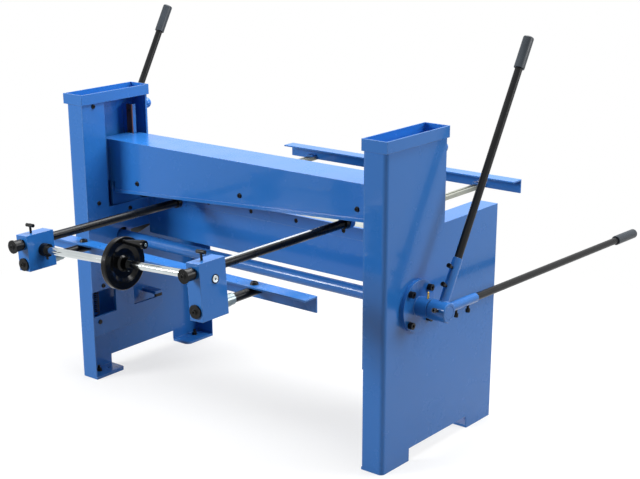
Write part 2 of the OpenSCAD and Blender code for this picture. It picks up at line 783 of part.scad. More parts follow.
module spring_bolts() {
    color(black) both() {
        bar_x(plate_x - sheet_t, spring_x + 1.2 * wire_d, spring_y, spring_z0, post_d);
        bar_x(plate_x - sheet_t, plate_x, spring_y, spring_z0, bolt_d);
        bar_x(spring_x + 0.8 * wire_d, spring_x + 1.2 * wire_d, spring_y, spring_z0, bolt_d);
    }
}
module buffers() {
    color(rubber) both() slab(plate_x, plate_x + plate_t, stop_lug_y0 + sheet_t, bar_y1,
        bar_z1, bar_z1 + buffer_h);
}

module rod_lugs() {
    color(blue) for (x = [-rod_x, rod_x]) difference() {
        union() {
            xz_plate(lug_y0, lug_y1, [
                [x - lug_w / 2, under_z(x - lug_w / 2)], [x - lug_r, rod_z(x)],
                [x + lug_r, rod_z(x)], [x + lug_w / 2, under_z(x + lug_w / 2)]]);
            bar_y(lug_y0, lug_y1, x, rod_z(x), 2 * lug_r);
        }
        bar_y(lug_y0 - cut, lug_y1 + cut, x, rod_z(x), rod_d);
    }
}

// Outline of the cutter for the rack, in Y and Z round the rod's axis
function rack_half(down) = pitch / 4 + backlash / 2 + (down - rack_off) * tan(press);
tip_z = rack_off + rack_tip;
root_z = rack_off - rack_root;
rack_cut = concat(
    [[-(rack_before + 1) * pitch, -rod_d], [-(rack_before + 1) * pitch, -tip_z]],
    [for (k = [-rack_before : rack_after]) each [
        [k * pitch - rack_half(tip_z), -tip_z], [k * pitch - rack_half(root_z), -root_z],
        [k * pitch + rack_half(root_z), -root_z], [k * pitch + rack_half(tip_z), -tip_z]]],
    [[(rack_after + 1) * pitch, -tip_z], [(rack_after + 1) * pitch, -rod_d]]);

module guide_rod(x) {
    difference() {
        bar_y(rod_y0 + end_cap_t, lug_y1, x, rod_z(x), rod_d);
        translate([x, cross_y, rod_z(x)]) rotate([0, -rake, 0])
            yz_plate(-rod_d, rod_d, rack_cut);
    }
}
module guide_rod_left() {
    color(black) guide_rod(-rod_x);
}
module guide_rod_right() {
    color(black) difference() {
        guide_rod(rod_x);
        slab(rod_x - scale_w / 2, rod_x + scale_w / 2, rod_y0, scale_y1, scale_z0(), scale_z0() + rod_d);
    }
}
function scale_z0() = rod_z(rod_x) + sqrt(rod_d * rod_d - scale_w * scale_w) / 2 - scale_t;
module scale_strip() {
    color(bright) slab(rod_x - scale_w / 2, rod_x + scale_w / 2, rod_y0 + end_cap_t + end_l,
        scale_y1, scale_z0(), scale_z0() + scale_t);
}
module rod_ends() {
    color(black) for (x = [-rod_x, rod_x]) {
        difference() {
            union() {
                bar_y(rod_y0, rod_y0 + end_l, x, rod_z(x), rod_d + 2 * end_wall);
                bar_y(rod_y0, rod_y0 + end_cap_t, x, rod_z(x), end_flange_d);
            }
            bar_y(rod_y0 + end_cap_t, rod_y0 + end_l + cut, x, rod_z(x), rod_d);
        }
        translate([x, rod_y0, rod_z(x)]) rotate([90, 0, 0]) button(0.62 * rod_d, end_cap_t);
        difference() {
            bar_y(lug_y0 - lug_ring_l, lug_y0, x, rod_z(x), lug_ring_d);
            bar_y(lug_y0 - lug_ring_l - cut, lug_y0 + cut, x, rod_z(x), rod_d);
        }
    }
}

// ---- lever shaft

module torque_shaft() {
    color(blue) {
        bar_x(-end_x + shaft_edge, end_x - shaft_edge, shaft_y, shaft_z, shaft_d);
        both() translate([end_x - shaft_edge, shaft_y, shaft_z]) rotate([0, 90, 0])
            cylinder(h = shaft_edge, d1 = shaft_d, d2 = shaft_d - 2 * shaft_edge);
    }
}
module crank() {
    tip_y = crank_r;
    translate([0, shaft_y, shaft_z]) rotate([swing / 2, 0, 0]) difference() {
        union() {
            bar_x(crank_x, crank_x + crank_hub_t, 0, 0, crank_hub_d);
            yz_plate(crank_x, crank_x + crank_t, [[0, -crank_hub_d / 2], [0, crank_hub_d / 2],
                [tip_y, crank_arm_w / 2], [tip_y, -crank_arm_w / 2]]);
            bar_x(crank_x, crank_x + crank_t, tip_y, 0, crank_arm_w);
            bar_x(plate_x - sheet_t / 4, crank_x + cut, tip_y, 0, pin_d);
        }
        bar_x(crank_x - cut, crank_x + crank_hub_t + cut, 0, 0, shaft_d);
    }
}
module crank_right() {
    color(dark) crank();
}
module crank_left() {
    color(dark) left_side() crank();
}

// Frame of a lever: local Y runs along the rod
module lever_frame(angle) {
    translate([lever_x, shaft_y, shaft_z]) rotate([angle, 0, 0]) children();
}
module lever_hub() {
    difference() {
        union() {
            bar_x(hub_x, end_x - hub_edge, shaft_y, shaft_z, hub_d);
            translate([end_x - hub_edge, shaft_y, shaft_z]) rotate([0, 90, 0])
                cylinder(h = hub_edge, d1 = hub_d, d2 = hub_d - 2 * hub_edge);
            lever_frame(upright_angle) bar_y(0, upright_socket, 0, 0, socket_d);
            lever_frame(long_angle) bar_y(0, long_socket, 0, 0, socket_d);
        }
        bar_x(hub_x - cut, end_x + cut, shaft_y, shaft_z, shaft_d);
        lever_frame(upright_angle) bar_y(hub_d / 2, upright_socket + cut, 0, 0, lever_d);
        lever_frame(long_angle) bar_y(hub_d / 2, long_socket + cut, 0, 0, lever_d);
        at_sockets() cylinder(h = socket_d, d = pinch_hole_d);
        at_hub() cylinder(h = hub_d, d = pinch_hole_d);
    }
}
module lever_hub_right() {
    color(blue) lever_hub();
}
module lever_hub_left() {
    color(blue) left_side() lever_hub();
}
module upright_rods() {
    color(black) both() lever_frame(upright_angle)
        bar_y(hub_d / 2, upright_reach - upright_grip_l * (1 - grip_wrap), 0, 0, lever_d);
}
module long_rods() {
    color(black) both() lever_frame(long_angle)
        bar_y(hub_d / 2, long_reach - long_grip_l * (1 - grip_wrap), 0, 0, lever_d);
}
// Grip round the end of a rod, closed and flat at its outer end
module grip(reach, l) {
    r = grip_d / 2;
    inner_r = lever_d / 2;
    wrap = grip_wrap * l;
    edge = r / 4;
    half_edge = edge * (1 - cos(45));
    translate([0, reach - l, 0]) rotate([-90, 0, 0]) rotate_extrude() polygon([
        [inner_r, 0], [r - edge / 4, 0], [r, edge / 4], [r, l - edge],
        [r - half_edge, l - half_edge], [r - edge, l], [0, l], [0, wrap], [inner_r, wrap]]);
}
module upright_grips() {
    color(dark) both() lever_frame(upright_angle) grip(upright_reach, upright_grip_l);
}
module long_grips() {
    color(dark) both() lever_frame(long_angle) grip(long_reach, long_grip_l);
}
// Cap screws of a hub and its sockets, and their holes
module at_sockets() {
    for (s = pinch_shares) {
        lever_frame(upright_angle) translate([0, s * upright_socket, 0]) children();
        lever_frame(long_angle) translate([0, s * long_socket, 0]) rotate([180, 0, 0]) children();
    }
}
module at_hub() {
    translate([hub_screw_x, shaft_y, shaft_z]) rotate([hub_screw_angle, 0, 0]) children();
}
module pinch(inner, outer) {
    seat = outer + pinch_out - pinch_h;
    translate([0, 0, inner + hair]) cylinder(h = seat - inner - hair, d = pinch_hole_d);
    translate([0, 0, seat]) difference() {
        cylinder(h = pinch_h, d = pinch_d);
        translate([0, 0, pinch_h / 2]) cylinder(h = pinch_h, d = pinch_d / 2, $fn = 6);
    }
}
module lever_screws() {
    color(black) both() {
        at_sockets() pinch(lever_d / 2, socket_d / 2);
        at_hub() pinch(shaft_d / 2, hub_d / 2);
    }
}

// ---- return springs: one wire with an eye at both ends, by formula

spring_l = spring_z1 - spring_z0;
body_z0 = bar_z1 - spring_z0 + 1.5 * wire_d;
body_l = spring_l - 2 * body_z0;
body_pitch = body_l / curls;
helix_n = curls * curl_rings;
total_n = helix_n + 2 * eye_rings;
step_a = 360 / curl_rings;
function ease(t) = t <= 0 ? 0 : t >= 1 ? 1 : t * t * (3 - 2 * t);
// Eye in the plane of local Y and Z, i rings away from the coil
function eye_at(i) = [0, eye_r * sin(330 * i / eye_rings), eye_r * cos(330 * i / eye_rings)];
function coil_at(i) = [coil_r * sin(i * step_a), coil_r * cos(i * step_a),
    body_z0 + body_pitch * i / curl_rings];
function wire_at(i) =
    let (j = i - eye_rings)
    j < blend_rings ? end_at(j)
    : j > helix_n - blend_rings ? turn(end_at(helix_n - j))
    : coil_at(j);
// Blend from the eye (j negative) to the coil
function end_at(j) =
    let (t = ease((j + blend_rings / 2) / (1.5 * blend_rings)))
    (1 - t) * eye_at(-j) + t * coil_at(j);
function turn(p) = [p[0], -p[1], spring_l - p[2]];
function unit(v) = v / norm(v);
function wire_dir(i) = unit(wire_at(min(i + 1, total_n)) - wire_at(max(i - 1, 0)));
function wire_ref(i) =
    let (t = ease((min(i, total_n - i) - eye_rings + blend_rings) / (2 * blend_rings)))
    [1 - t, 0, t];
function ring_at(i) =
    let (d = wire_dir(i), u = unit(cross(d, wire_ref(i))), v = cross(d, u), p = wire_at(i))
    [for (k = [0 : wire_sides - 1])
        p + wire_d / 2 * (cos(360 * k / wire_sides) * u + sin(360 * k / wire_sides) * v)];
spring_points = [for (i = [0 : total_n]) each ring_at(i)];
spring_faces = concat(
    [[for (k = [0 : wire_sides - 1]) k]],
    [for (i = [0 : total_n - 1], k = [0 : wire_sides - 1])
        let (a = i * wire_sides, b = a + wire_sides, n = (k + 1) % wire_sides)
        each [[a + k, b + k, b + n], [a + k, b + n, a + n]]],
    [[for (k = [0 : wire_sides - 1]) total_n * wire_sides + wire_sides - 1 - k]]);
// Least clear distance between rings that are at least half a curl apart
wire_gap = min([for (i = [0 : total_n], j = [i + curl_rings / 2 : 1 : min(i + 3 * curl_rings, total_n)])
    norm(wire_at(i) - wire_at(j))]) - wire_d;
echo(wire_gap = wire_gap, spring_l = spring_l, body_pitch = body_pitch);

module spring() {
    translate([spring_x, spring_y, spring_z0])
        polyhedron(points = spring_points, faces = spring_faces, convexity = 10);
}
module spring_right() {
    color(black) spring();
}
module spring_left() {
    color(black) left_side() spring();
}

// ---- back gauge

// Involute flank and tooth outline of a pinion
base_r = pitch_r * cos(press);
function roll(r) = sqrt(max(0, (r / base_r) * (r / base_r) - 1)) * 180 / PI - acos(min(1, base_r / r));
half_tooth = 90 / gear_z - backlash / 2 / pitch_r * 180 / PI + roll(pitch_r);
flank_shares = [0, 0.2, 0.5, 0.75, 1];
function flank(s, side) =
    let (r = base_r + s * (pitch_r + pinion_tip - base_r), a = side * (half_tooth - roll(r)))
    [r * sin(a), r * cos(a)];
function tooth() = concat(
    [[-(pitch_r - pinion_root) * sin(half_tooth), (pitch_r - pinion_root) * cos(half_tooth)]],
    [for (s = flank_shares) flank(s, -1)],
    [for (k = [len(flank_shares) - 1 : -1 : 0]) flank(flank_shares[k], 1)],
    [[(pitch_r - pinion_root) * sin(half_tooth), (pitch_r - pinion_root) * cos(half_tooth)]]);
function spin(p, a) = [p[0] * cos(a) + p[1] * sin(a), -p[0] * sin(a) + p[1] * cos(a)];
pinion_outline = [for (k = [0 : gear_z - 1]) each [for (p = tooth()) spin(p, k * 360 / gear_z)]];

module pinion(x) {
    rake_frame(cross_y, -gear_drop)
        yz_plate(along(x) - pinion_w / 2, along(x) + pinion_w / 2, pinion_outline);
}
// Frame square to the raked shaft, on the axis of a guide rod
module block_frame(x) {
    translate([x, 0, rod_z(x)]) rotate([0, -rake, 0]) children();
}
// Place along X and depth in the block's frame of a lower rod
function low_x(x) = x + (rod_z(x) - low_rod_z) * tan(rake);
function low_depth(x) = (rod_z(x) - low_rod_z) / cos(rake);
module gauge_block(x, low_drop) {
    room = 2 * hair;
    difference() {
        block_frame(x) slab(-block_w / 2, block_w / 2, block_y0, block_y1,
            -low_depth(x) - low_drop, top_rise);
        bar_y(block_y0 - cut, block_y1 + cut, x, rod_z(x), rod_d + run_gap);
        bar_y(block_y0 - cut, block_y1 + cut, low_x(x), low_rod_z, rod_d);
        rake_frame(cross_y, -gear_drop) {
            bar_x(along(x) - block_w, along(x) + block_w, 0, 0, cross_d + run_gap);
            bar_x(along(x) - pinion_w / 2 - room, along(x) + pinion_w / 2 + room, 0, 0,
                2 * (pitch_r + gear_m));
        }
        block_frame(x) bar_z(0, top_rise + cut, 0, clamp_y, clamp_d + run_gap);
    }
}
module gauge_block_right() {
    color(blue) gauge_block(rod_x, right_low_drop);
}
module gauge_block_left() {
    color(blue) gauge_block(-rod_x, left_low_drop);
}
module lower_rods() {
    color(black) for (x = [-rod_x, rod_x]) difference() {
        bar_y(block_y0, back_bar_y1 - 1.3 * stop_t, low_x(x), low_rod_z, rod_d);
        bar_z(low_rod_z, low_rod_z + rod_d, low_x(x), back_bar_y0 + stop_w / 2, stop_bolt_d);
    }
}
module rod_caps() {
    color(black) for (x = [-rod_x, rod_x]) translate([low_x(x), block_y0, low_rod_z]) rotate([90, 0, 0]) {
        cylinder(h = cap_t, d = cap_d);
        translate([0, 0, cap_t]) button(0.6 * rod_d, cap_t);
    }
}
module rod_nuts() {
    color(zinc) for (x = [-rod_x, rod_x]) difference() {
        union() {
            bar_y(block_y1, block_y1 + 0.6 * nut_ring_l, low_x(x), low_rod_z, nut_ring_d);
            bar_y(block_y1, block_y1 + nut_ring_l, low_x(x), low_rod_z, 0.92 * nut_ring_d);
        }
        bar_y(block_y1 - cut, block_y1 + nut_ring_l + cut, low_x(x), low_rod_z, rod_d);
    }
}
module back_stop_bar() {
    low = low_rod_z + rod_d / 2;
    color(blue) difference() {
        union() {
            slab(-back_bar_half, back_bar_half, back_bar_y0, back_bar_y1, low, low + stop_t);
            slab(-back_bar_half, back_bar_half, back_bar_y1 - stop_t, back_bar_y1,
                low + stop_t - stop_h, low + stop_t);
        }
        for (x = [-rod_x, rod_x])
            bar_z(low - cut, low + stop_t + cut, low_x(x), back_bar_y0 + stop_w / 2, stop_bolt_d);
    }
}
module stop_bolts() {
    low = low_rod_z + rod_d / 2;
    color(black) for (x = [-rod_x, rod_x]) {
        bar_z(low_rod_z + sheet_t, low + stop_t, low_x(x), back_bar_y0 + stop_w / 2, stop_bolt_d);
        translate([low_x(x), back_bar_y0 + stop_w / 2, low + stop_t])
            button(stop_bolt_head, stop_bolt_h);
    }
}
left_end = along(-rod_x) - block_w / 2 - ring_t;
right_end = along(rod_x) + block_w / 2 + ring_t;
module cross_shaft() {
    color(bright) {
        rake_frame(cross_y, -gear_drop) difference() {
            union() {
                bar_x(left_end + end_edge, right_end - end_edge, 0, 0, cross_d);
                translate([right_end - end_edge, 0, 0]) rotate([0, 90, 0])
                    cylinder(h = end_edge, d1 = cross_d, d2 = cross_d - 2 * end_edge);
                translate([left_end + end_edge, 0, 0]) rotate([0, -90, 0])
                    cylinder(h = end_edge, d1 = cross_d, d2 = cross_d - 2 * end_edge);
            }
            bar_x(right_end - centre_l, right_end + cut, 0, 0, centre_d);
            bar_x(left_end - cut, left_end + centre_l, 0, 0, centre_d);
        }
        pinion(-rod_x);
        pinion(rod_x);
    }
}
module shaft_collars() {
    x0 = along(-rod_x) + block_w / 2 + hair;
    x1 = along(rod_x) + block_w / 2 + hair;
    color(black) rake_frame(cross_y, -gear_drop) {
        difference() {
            bar_x(x0, x0 + collar_l, 0, 0, collar_d);
            bar_x(x0 - cut, x0 + collar_l + cut, 0, 0, cross_d);
        }
        translate([x0 + 0.6 * collar_l, 0, -collar_d / 2 + ring_t]) rotate([180, 0, 0])
            button(collar_screw_d, collar_screw_d + ring_t);
        difference() {
            bar_x(x1, x1 + ring_t, 0, 0, ring_d);
            bar_x(x1 - cut, x1 + ring_t + cut, 0, 0, cross_d);
        }
    }
}
// Handwheel: flat rim, dished web and hub turned about the cross shaft
module handwheel() {
    rim = rim_t / 2;
    rim_in = rim_in_share * wheel_r;
    hub_r = wheel_hub_d / 2;
    color(black) rake_frame(cross_y, -gear_drop) translate([along(wheel_x), 0, 0]) {
        rotate([0, 90, 0]) {
            difference() {
                rotate_extrude($fn = 72) polygon([[0, -rim], [hub_r, -rim], [hub_r, -rim / 3],
                    [rim_in, -rim / 3], [rim_in, -rim], [wheel_r - rim_edge, -rim],
                    [wheel_r - rim_edge / 3, -rim + rim_edge / 3], [wheel_r, -rim + rim_edge],
                    [wheel_r, rim - rim_edge], [wheel_r - rim_edge / 3, rim - rim_edge / 3],
                    [wheel_r - rim_edge, rim], [rim_in, rim], [0.92 * rim_in, 0.85 * rim],
                    [0.75 * rim_in, web_t - rim / 3], [1.25 * hub_r, web_t - rim / 3],
                    [hub_r, rim], [hub_r, wheel_hub_l - rim], [0, wheel_hub_l - rim]]);
                translate([0, 0, -wheel_d]) cylinder(h = 2 * wheel_d, d = cross_d);
                translate([-handle_r, 0, -rim_t]) cylinder(h = 3 * rim_t, d = handle_pin_d);
            }
            translate([-handle_r, 0, -rim])
                cylinder(h = handle_l + 2 * rim, d = handle_pin_d);
            translate([-handle_r, 0, handle_l + rim]) cylinder(h = ring_t, d = 1.5 * handle_pin_d);
        }
    }
}
module wheel_handle() {
    z0 = rim_t / 2 + hair;
    l = handle_l - hair;
    r = handle_d / 2;
    bore = handle_pin_d / 2 + run_gap / 2;
    color(black) rake_frame(cross_y, -gear_drop) translate([along(wheel_x), 0, handle_r])
        rotate([0, 90, 0]) rotate_extrude() polygon([[bore, z0], [0.5 * r, z0],
            [0.5 * r, z0 + 0.04 * l], [0.44 * r, z0 + 0.07 * l], [0.72 * r, z0 + 0.45 * l],
            [0.97 * r, z0 + 0.85 * l], [r, z0 + 0.92 * l], [0.9 * r, z0 + l - hair],
            [bore, z0 + l - hair]]);
}
module clamp_screw(x) {
    z1 = top_rise + clamp_rise;
    color(black) block_frame(x) {
        bar_z(rod_d / 2 + hair, z1, 0, clamp_y, clamp_d);
        bar_x(-clamp_bar_l / 2, clamp_bar_l / 2, clamp_y, z1 - clamp_bar_d / 2, clamp_bar_d);
    }
}
module clamp_screw_right() {
    clamp_screw(rod_x);
}
module clamp_screw_left() {
    clamp_screw(-rod_x);
}

stand_left();
stand_right();
trays();
guard_left();
guard_right();
levelling_screws();
dome_knobs();
frame_screws();
bed();
table_plate();
lower_blade();
flange_left();
flange_right();
flange_bolts();
grease_nipples();
guide_strips();
spring_posts();
stop_arms();
front_stop_bar();
front_clamps();
beam();
upper_blade();
beam_screws();
pull_plate_left();
pull_plate_right();
guide_shoes();
rod_lugs();
guide_rod_left();
guide_rod_right();
scale_strip();
rod_ends();
buffers();
spring_bolts();
torque_shaft();
crank_left();
crank_right();
lever_hub_left();
lever_hub_right();
upright_rods();
upright_grips();
long_rods();
long_grips();
lever_screws();
spring_left();
spring_right();
gauge_block_left();
gauge_block_right();
lower_rods();
rod_caps();
rod_nuts();
back_stop_bar();
stop_bolts();
cross_shaft();
shaft_collars();
handwheel();
wheel_handle();
clamp_screw_left();
clamp_screw_right();
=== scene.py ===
import math

import bpy
import bmesh
from mathutils import Matrix, Vector


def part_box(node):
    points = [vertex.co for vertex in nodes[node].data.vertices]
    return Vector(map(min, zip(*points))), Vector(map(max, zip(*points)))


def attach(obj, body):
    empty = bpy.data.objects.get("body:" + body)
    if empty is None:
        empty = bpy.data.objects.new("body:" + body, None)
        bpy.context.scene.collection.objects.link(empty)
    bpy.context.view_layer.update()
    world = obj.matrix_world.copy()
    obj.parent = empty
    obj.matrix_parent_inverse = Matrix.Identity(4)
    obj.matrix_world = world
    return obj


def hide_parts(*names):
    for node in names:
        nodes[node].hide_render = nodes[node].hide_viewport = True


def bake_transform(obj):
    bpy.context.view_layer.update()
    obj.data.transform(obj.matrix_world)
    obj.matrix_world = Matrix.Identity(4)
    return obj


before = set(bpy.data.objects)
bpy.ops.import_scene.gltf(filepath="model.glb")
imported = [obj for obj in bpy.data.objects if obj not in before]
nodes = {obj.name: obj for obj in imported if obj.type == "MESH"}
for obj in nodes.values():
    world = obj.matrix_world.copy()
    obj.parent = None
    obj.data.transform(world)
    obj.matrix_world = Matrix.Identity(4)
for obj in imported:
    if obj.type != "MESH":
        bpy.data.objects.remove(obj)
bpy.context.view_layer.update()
MM = 0.001


# ---------------------------------------------------------------- colours and nodes

def linear(hex_value):
    """sRGB hex to the linear colour that a shader socket takes."""
    channels = [int(hex_value[i:i + 2], 16) / 255 for i in (1, 3, 5)]
    return tuple(c / 12.92 if c <= 0.04045 else ((c + 0.055) / 1.055) ** 2.4 for c in channels) + (1.0,)


def add(tree, kind, links=None, values=None, **settings):
    """Adds one node: links and values go to sockets by name or number, settings to the node itself."""
    node = tree.nodes.new(kind)
    for name, value in settings.items():
        setattr(node, name, value)
    for socket, value in (values or {}).items():
        node.inputs[socket].default_value = value
    for socket, source in (links or {}).items():
        tree.links.new(source, node.inputs[socket])
    return node


def new_material(name, shader_values):
    """A material with one Principled shader; returns the tree, the shader and the Object coordinate."""
    material = bpy.data.materials.new(name)
    material.use_nodes = True
    tree = material.node_tree
    tree.nodes.clear()
    shader = add(tree, "ShaderNodeBsdfPrincipled", values=shader_values)
    add(tree, "ShaderNodeOutputMaterial", {"Surface": shader.outputs["BSDF"]})
    place = add(tree, "ShaderNodeTexCoord").outputs["Object"]
    return material, tree, shader, place


# ---------------------------------------------------------------- finishes

def soft_edge(tree, radius):
    """Normal of an edge broken by radius, and how far each point lies on such an edge, 0 to 1."""
    soft = add(tree, "ShaderNodeBevel", values={"Radius": radius}, samples=6)
    flat = add(tree, "ShaderNodeNewGeometry")
    same = add(tree, "ShaderNodeVectorMath", {0: soft.outputs["Normal"], 1: flat.outputs["True Normal"]},
               operation="DOT_PRODUCT")
    edge = add(tree, "ShaderNodeMapRange", {"Value": same.outputs["Value"]},
               {"From Min": 0.995, "From Max": 0.86})
    return soft.outputs["Normal"], edge.outputs["Result"]


def tone(tree, factor, first, second):
    """Mix of two colours by factor."""
    mixed = add(tree, "ShaderNodeMix", {"Factor": factor}, data_type="RGBA")
    for socket, colour in ((6, first), (7, second)):
        if isinstance(colour, str):
            mixed.inputs[socket].default_value = linear(colour)
        else:
            tree.links.new(colour, mixed.inputs[socket])
    return mixed.outputs[2]


def finish(tree, shader, colour, roughness, height, normal, strength, depth):
    """Links colour, roughness and a bump of the given depth to the shader."""
    bump = add(tree, "ShaderNodeBump", {"Height": height, "Normal": normal},
               {"Strength": strength, "Distance": depth})
    tree.links.new(colour, shader.inputs["Base Color"])
    tree.links.new(roughness, shader.inputs["Roughness"])
    tree.links.new(bump.outputs["Normal"], shader.inputs["Normal"])


def powder_coated_sheet():
    """Blue polyester powder coat on folded sheet steel: gloss over a faint orange peel, a lighter line
    along the edges, partly edge wear and partly a painted highlight on the folds, a little duller where
    cloths rub it."""
    material, tree, shader, place = new_material("powder_coated_sheet", {
        "Metallic": 0.0, "Specular IOR Level": 0.25, "Coat Weight": 0.22, "Coat Roughness": 0.05})
    cloud = add(tree, "ShaderNodeTexNoise", {"Vector": place},
                {"Scale": 1.6, "Detail": 2.0, "Roughness": 0.45})
    paint = tone(tree, cloud.outputs["Fac"], "#2366AE", "#2C6FBB")
    normal, edge = soft_edge(tree, 1.8 * MM)
    rub = add(tree, "ShaderNodeTexNoise", {"Vector": place},
              {"Scale": 11.0, "Detail": 4.0, "Roughness": 0.55})
    # lighter edge line #7FA6D6: partly edge wear where the rub noise reaches it, partly a painted highlight
    # on the folded edges
    lighter_edge = add(tree, "ShaderNodeMath", {0: edge, 1: rub.outputs["Fac"]}, operation="MULTIPLY")
    dull = add(tree, "ShaderNodeMapRange", {"Value": rub.outputs["Fac"]},
               {"From Min": 0.35, "From Max": 0.7, "To Min": 0.2, "To Max": 0.3})
    # orange peel of about 3 mm pitch, a few hundredths of a millimetre deep
    peel = add(tree, "ShaderNodeTexNoise", {"Vector": place}, {"Scale": 300.0, "Detail": 0.0})
    finish(tree, shader, tone(tree, lighter_edge.outputs["Value"], paint, "#7FA6D6"), dull.outputs["Result"],
           peel.outputs["Fac"], normal, 0.05, 0.06 * MM)
    return material


def black_steel(name, dark, worn, bright, roughness, metallic=0.5, shine=0.35):
    """Turned or drawn steel under a black skin: near black, fine turning marks, bare steel
    showing along the edges that tools and hands touch."""
    material, tree, shader, place = new_material(name, {"Metallic": metallic, "Specular IOR Level": shine})
    cloud = add(tree, "ShaderNodeTexNoise", {"Vector": place},
                {"Scale": 24.0, "Detail": 3.0, "Roughness": 0.5})
    rubbed = add(tree, "ShaderNodeMapRange", {"Value": cloud.outputs["Fac"]},
                 {"From Min": 0.5, "From Max": 0.8})
    normal, edge = soft_edge(tree, 0.7 * MM)
    lighter_edge = add(tree, "ShaderNodeMath", {0: edge, 1: cloud.outputs["Fac"]}, operation="MULTIPLY")
    skin = tone(tree, rubbed.outputs["Result"], dark, worn)
    gloss = add(tree, "ShaderNodeMapRange", {"Value": cloud.outputs["Fac"]},
                {"To Min": roughness - 0.07, "To Max": roughness + 0.08})
    # marks of about 0.6 mm pitch
    marks = add(tree, "ShaderNodeTexNoise", {"Vector": place}, {"Scale": 1600.0, "Detail": 1.0})
    finish(tree, shader, tone(tree, lighter_edge.outputs["Value"], skin, bright), gloss.outputs["Result"],
           marks.outputs["Fac"], normal, 0.06, 0.04 * MM)
    return material


def worked_steel(name, light, dark, roughness, grain, metallic=1.0, relief=0.1):
    """Bare steel with the lines its tool left; grain holds how much the pattern is squeezed
    along X, Y and Z, in lines per metre."""
    material, tree, shader, place = new_material(name, {"Metallic": metallic, "Specular IOR Level": 0.5})
    run = add(tree, "ShaderNodeMapping", {"Vector": place}, {"Scale": grain})
    lines = add(tree, "ShaderNodeTexNoise", {"Vector": run.outputs["Vector"]},
                {"Scale": 1.0, "Detail": 3.0, "Roughness": 0.55})
    stain = add(tree, "ShaderNodeTexNoise", {"Vector": place}, {"Scale": 7.0, "Detail": 3.0})
    both = add(tree, "ShaderNodeMath", {0: lines.outputs["Fac"], 1: stain.outputs["Fac"]},
               operation="MULTIPLY")
    spread = add(tree, "ShaderNodeMapRange", {"Value": both.outputs["Value"]},
                 {"From Min": 0.12, "From Max": 0.4})
    normal, edge = soft_edge(tree, 0.6 * MM)
    ground = tone(tree, spread.outputs["Result"], dark, light)
    gloss = add(tree, "ShaderNodeMapRange", {"Value": lines.outputs["Fac"]},
                {"To Min": roughness - 0.04, "To Max": roughness + 0.08})
    finish(tree, shader, tone(tree, edge, ground, light), gloss.outputs["Result"],
           lines.outputs["Fac"], normal, relief, 0.04 * MM)
    return material


def moulded_plastic(name, dark, light, roughness, pitch, depth, shine=0.35):
    """Moulded thermoset, vinyl or rubber: even colour, fine mould texture, polished by hands."""
    material, tree, shader, place = new_material(name, {"Metallic": 0.0, "Specular IOR Level": shine})
    cloud = add(tree, "ShaderNodeTexNoise", {"Vector": place}, {"Scale": 18.0, "Detail": 2.0})
    normal, edge = soft_edge(tree, 0.8 * MM)
    worn = add(tree, "ShaderNodeMath", {0: edge, 1: cloud.outputs["Fac"]}, operation="MAXIMUM")
    gloss = add(tree, "ShaderNodeMapRange", {"Value": cloud.outputs["Fac"]},
                {"From Min": 0.3, "From Max": 0.7, "To Min": roughness - 0.05, "To Max": roughness + 0.05})
    skin = add(tree, "ShaderNodeTexNoise", {"Vector": place}, {"Scale": 1 / pitch, "Detail": 2.0})
    finish(tree, shader, tone(tree, worn.outputs["Value"], dark, light), gloss.outputs["Result"],
           skin.outputs["Fac"], normal, 0.2, depth)
    return material


blue = powder_coated_sheet()
black = black_steel("blackened_guide_rod", "#08090A", "#101214", "#2A2D30", 0.28)
lever_black = black_steel("glossy_black_lever_rod", "#07080A", "#0F1114", "#1E2226", 0.34, 0.0, 0.22)
fastener = black_steel("blackened_fasteners", "#090A0B", "#141517", "#3A3C3F", 0.36)
wire = black_steel("oiled_spring_wire", "#0A0A0B", "#151617", "#2A2B2C", 0.28)
crank_steel = black_steel("machined_crank_steel", "#34383C", "#474B50", "#7B7F84", 0.4, 0.8)
grip_vinyl = moulded_plastic("dipped_vinyl_grip", "#1B2127", "#283038", 0.42, 1.2 * MM, 0.08 * MM)
wheel_plastic = moulded_plastic("black_bakelite", "#040405", "#090A0B", 0.18, 1.5 * MM, 0.01 * MM, 0.18)
rubber = moulded_plastic("moulded_rubber", "#0B0B0C", "#161617", 0.7, 0.8 * MM, 0.08 * MM)
blade_steel = worked_steel("ground_blade_steel", "#B9BCBD", "#8E9294", 0.3, (6.0, 700.0, 700.0))
table_steel = worked_steel("milled_table_steel", "#9CA09A", "#82867F", 0.45, (7.0, 320.0, 320.0), 0.4)
arm_steel = worked_steel("milled_arm_steel", "#A9ABA0", "#85887E", 0.42, (500.0, 7.0, 500.0), 0.5)
chrome = worked_steel("hard_chromed_bar", "#D5DBDC", "#BEC5C6", 0.07, (3.0, 160.0, 160.0), 1.0, 0.015)
zinc = worked_steel("zinc_plated_nut", "#939FA2", "#768285", 0.32, (500.0, 9.0, 500.0))
brass = worked_steel("turned_brass", "#D9B864", "#B08F45", 0.26, (500.0, 500.0, 500.0))
guide_bronze = worked_steel("bronze_guide_strip", "#5E3A2E", "#43261F", 0.5, (400.0, 400.0, 10.0), 0.35)
scale_alloy = worked_steel("engraved_scale", "#C2C6C9", "#AEB2B5", 0.5, (500.0, 9.0, 500.0), 0.3)
ink = moulded_plastic("filled_scale_lines", "#0A0A0B", "#1A1A1C", 0.5, 0.5 * MM, 0.01 * MM)

